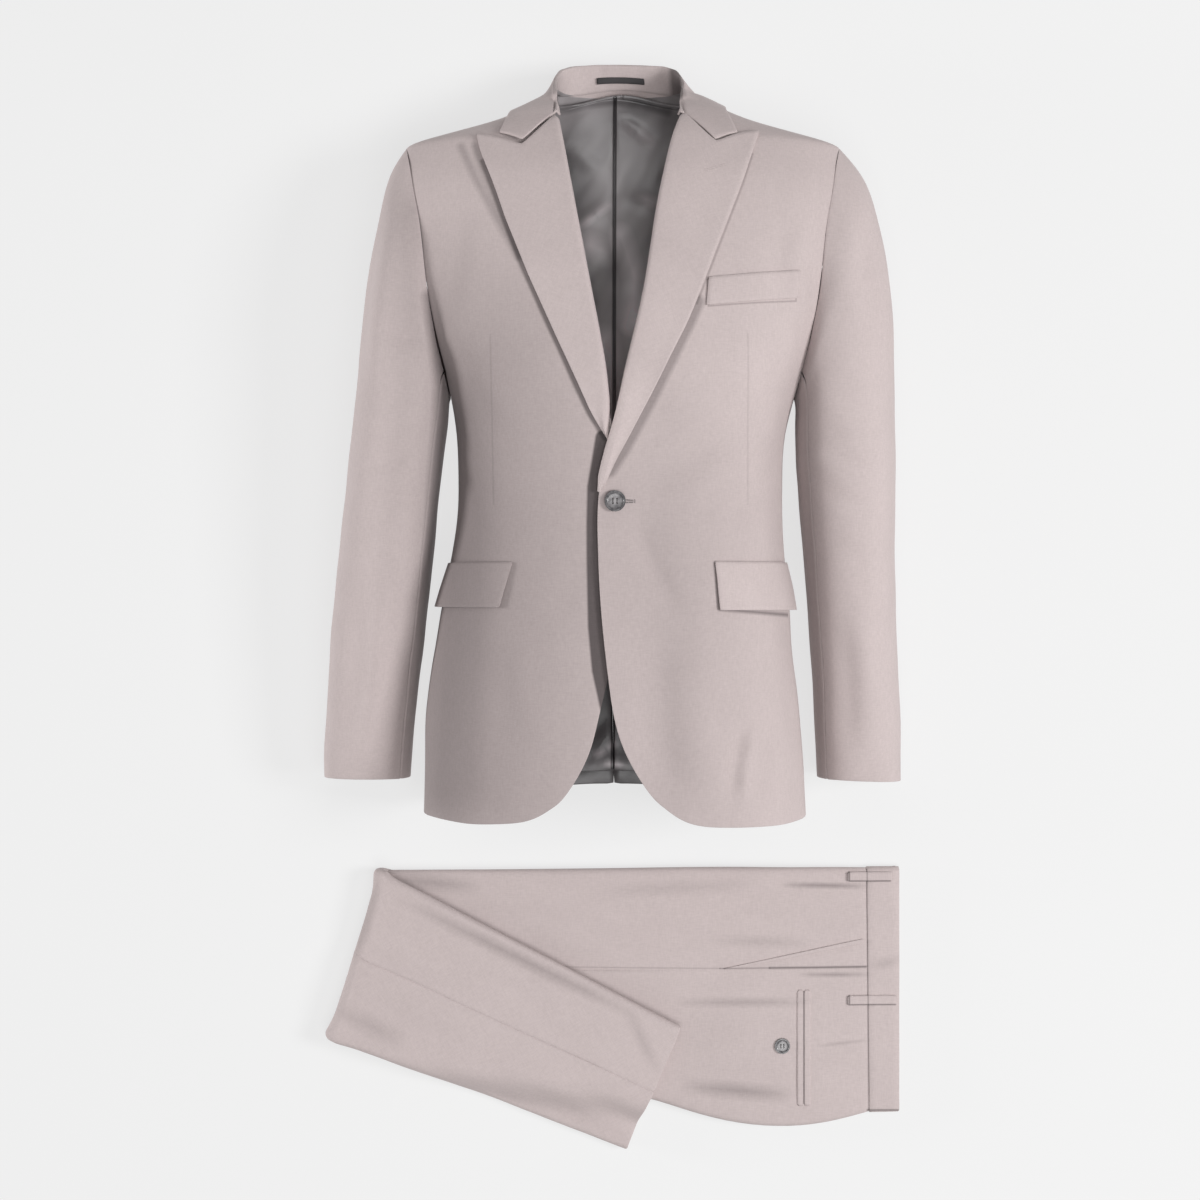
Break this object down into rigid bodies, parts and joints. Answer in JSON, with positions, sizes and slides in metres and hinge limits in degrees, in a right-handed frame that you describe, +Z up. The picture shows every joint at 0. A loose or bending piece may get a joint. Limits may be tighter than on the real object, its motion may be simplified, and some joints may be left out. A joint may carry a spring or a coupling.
{
  "type": "two-piece suit",
  "caption": "Single-breasted jacket with peaked lapels, filled out on its back, with matching trousers folded below it.",
  "frame": {"origin": "middle of the bounding box, on the surface the suit lies on", "axes": "+X to the wearer's left, +Y towards the collar, +Z up, away from the surface"},
  "size_m": [0.6358, 1.2004, 0.2297],
  "materials": {
    "cloth": "pale warm grey fine worsted wool, matt",
    "lining": "dark grey satin lining with a soft sheen",
    "button": "dark grey horn-like button"
  },
  "bodies": {
    "root": {"front_left": "cloth", "front_right": "cloth", "side_left": "cloth", "side_right": "cloth", "back_left": "cloth", "back_right": "cloth", "collar": "cloth", "lapel_left": "cloth", "lapel_right": "cloth", "sleeve_upper_left": "cloth", "sleeve_under_left": "cloth", "sleeve_upper_right": "cloth", "sleeve_under_right": "cloth", "flap_left": "cloth", "flap_right": "cloth", "breast_welt": "cloth", "trouser_inner_layers": "cloth", "trouser_folded_layers": "cloth", "trouser_front_left": "cloth", "trouser_back_left": "cloth", "trouser_front_right": "cloth", "trouser_back_right": "cloth", "waistband_left": "cloth", "waistband_right": "cloth", "belt_loop_1": "cloth", "belt_loop_2": "cloth", "back_pocket_jet_1": "cloth", "back_pocket_jet_2": "cloth", "pocket_edge_left": "cloth", "hem_ply_1": "cloth", "hem_ply_2": "cloth", "hem_ply_3": "cloth", "lining_left": "lining", "lining_right": "lining", "hanger_loop": "lining", "front_button": "button", "pocket_button": "button"}
  },
  "joints": []
}
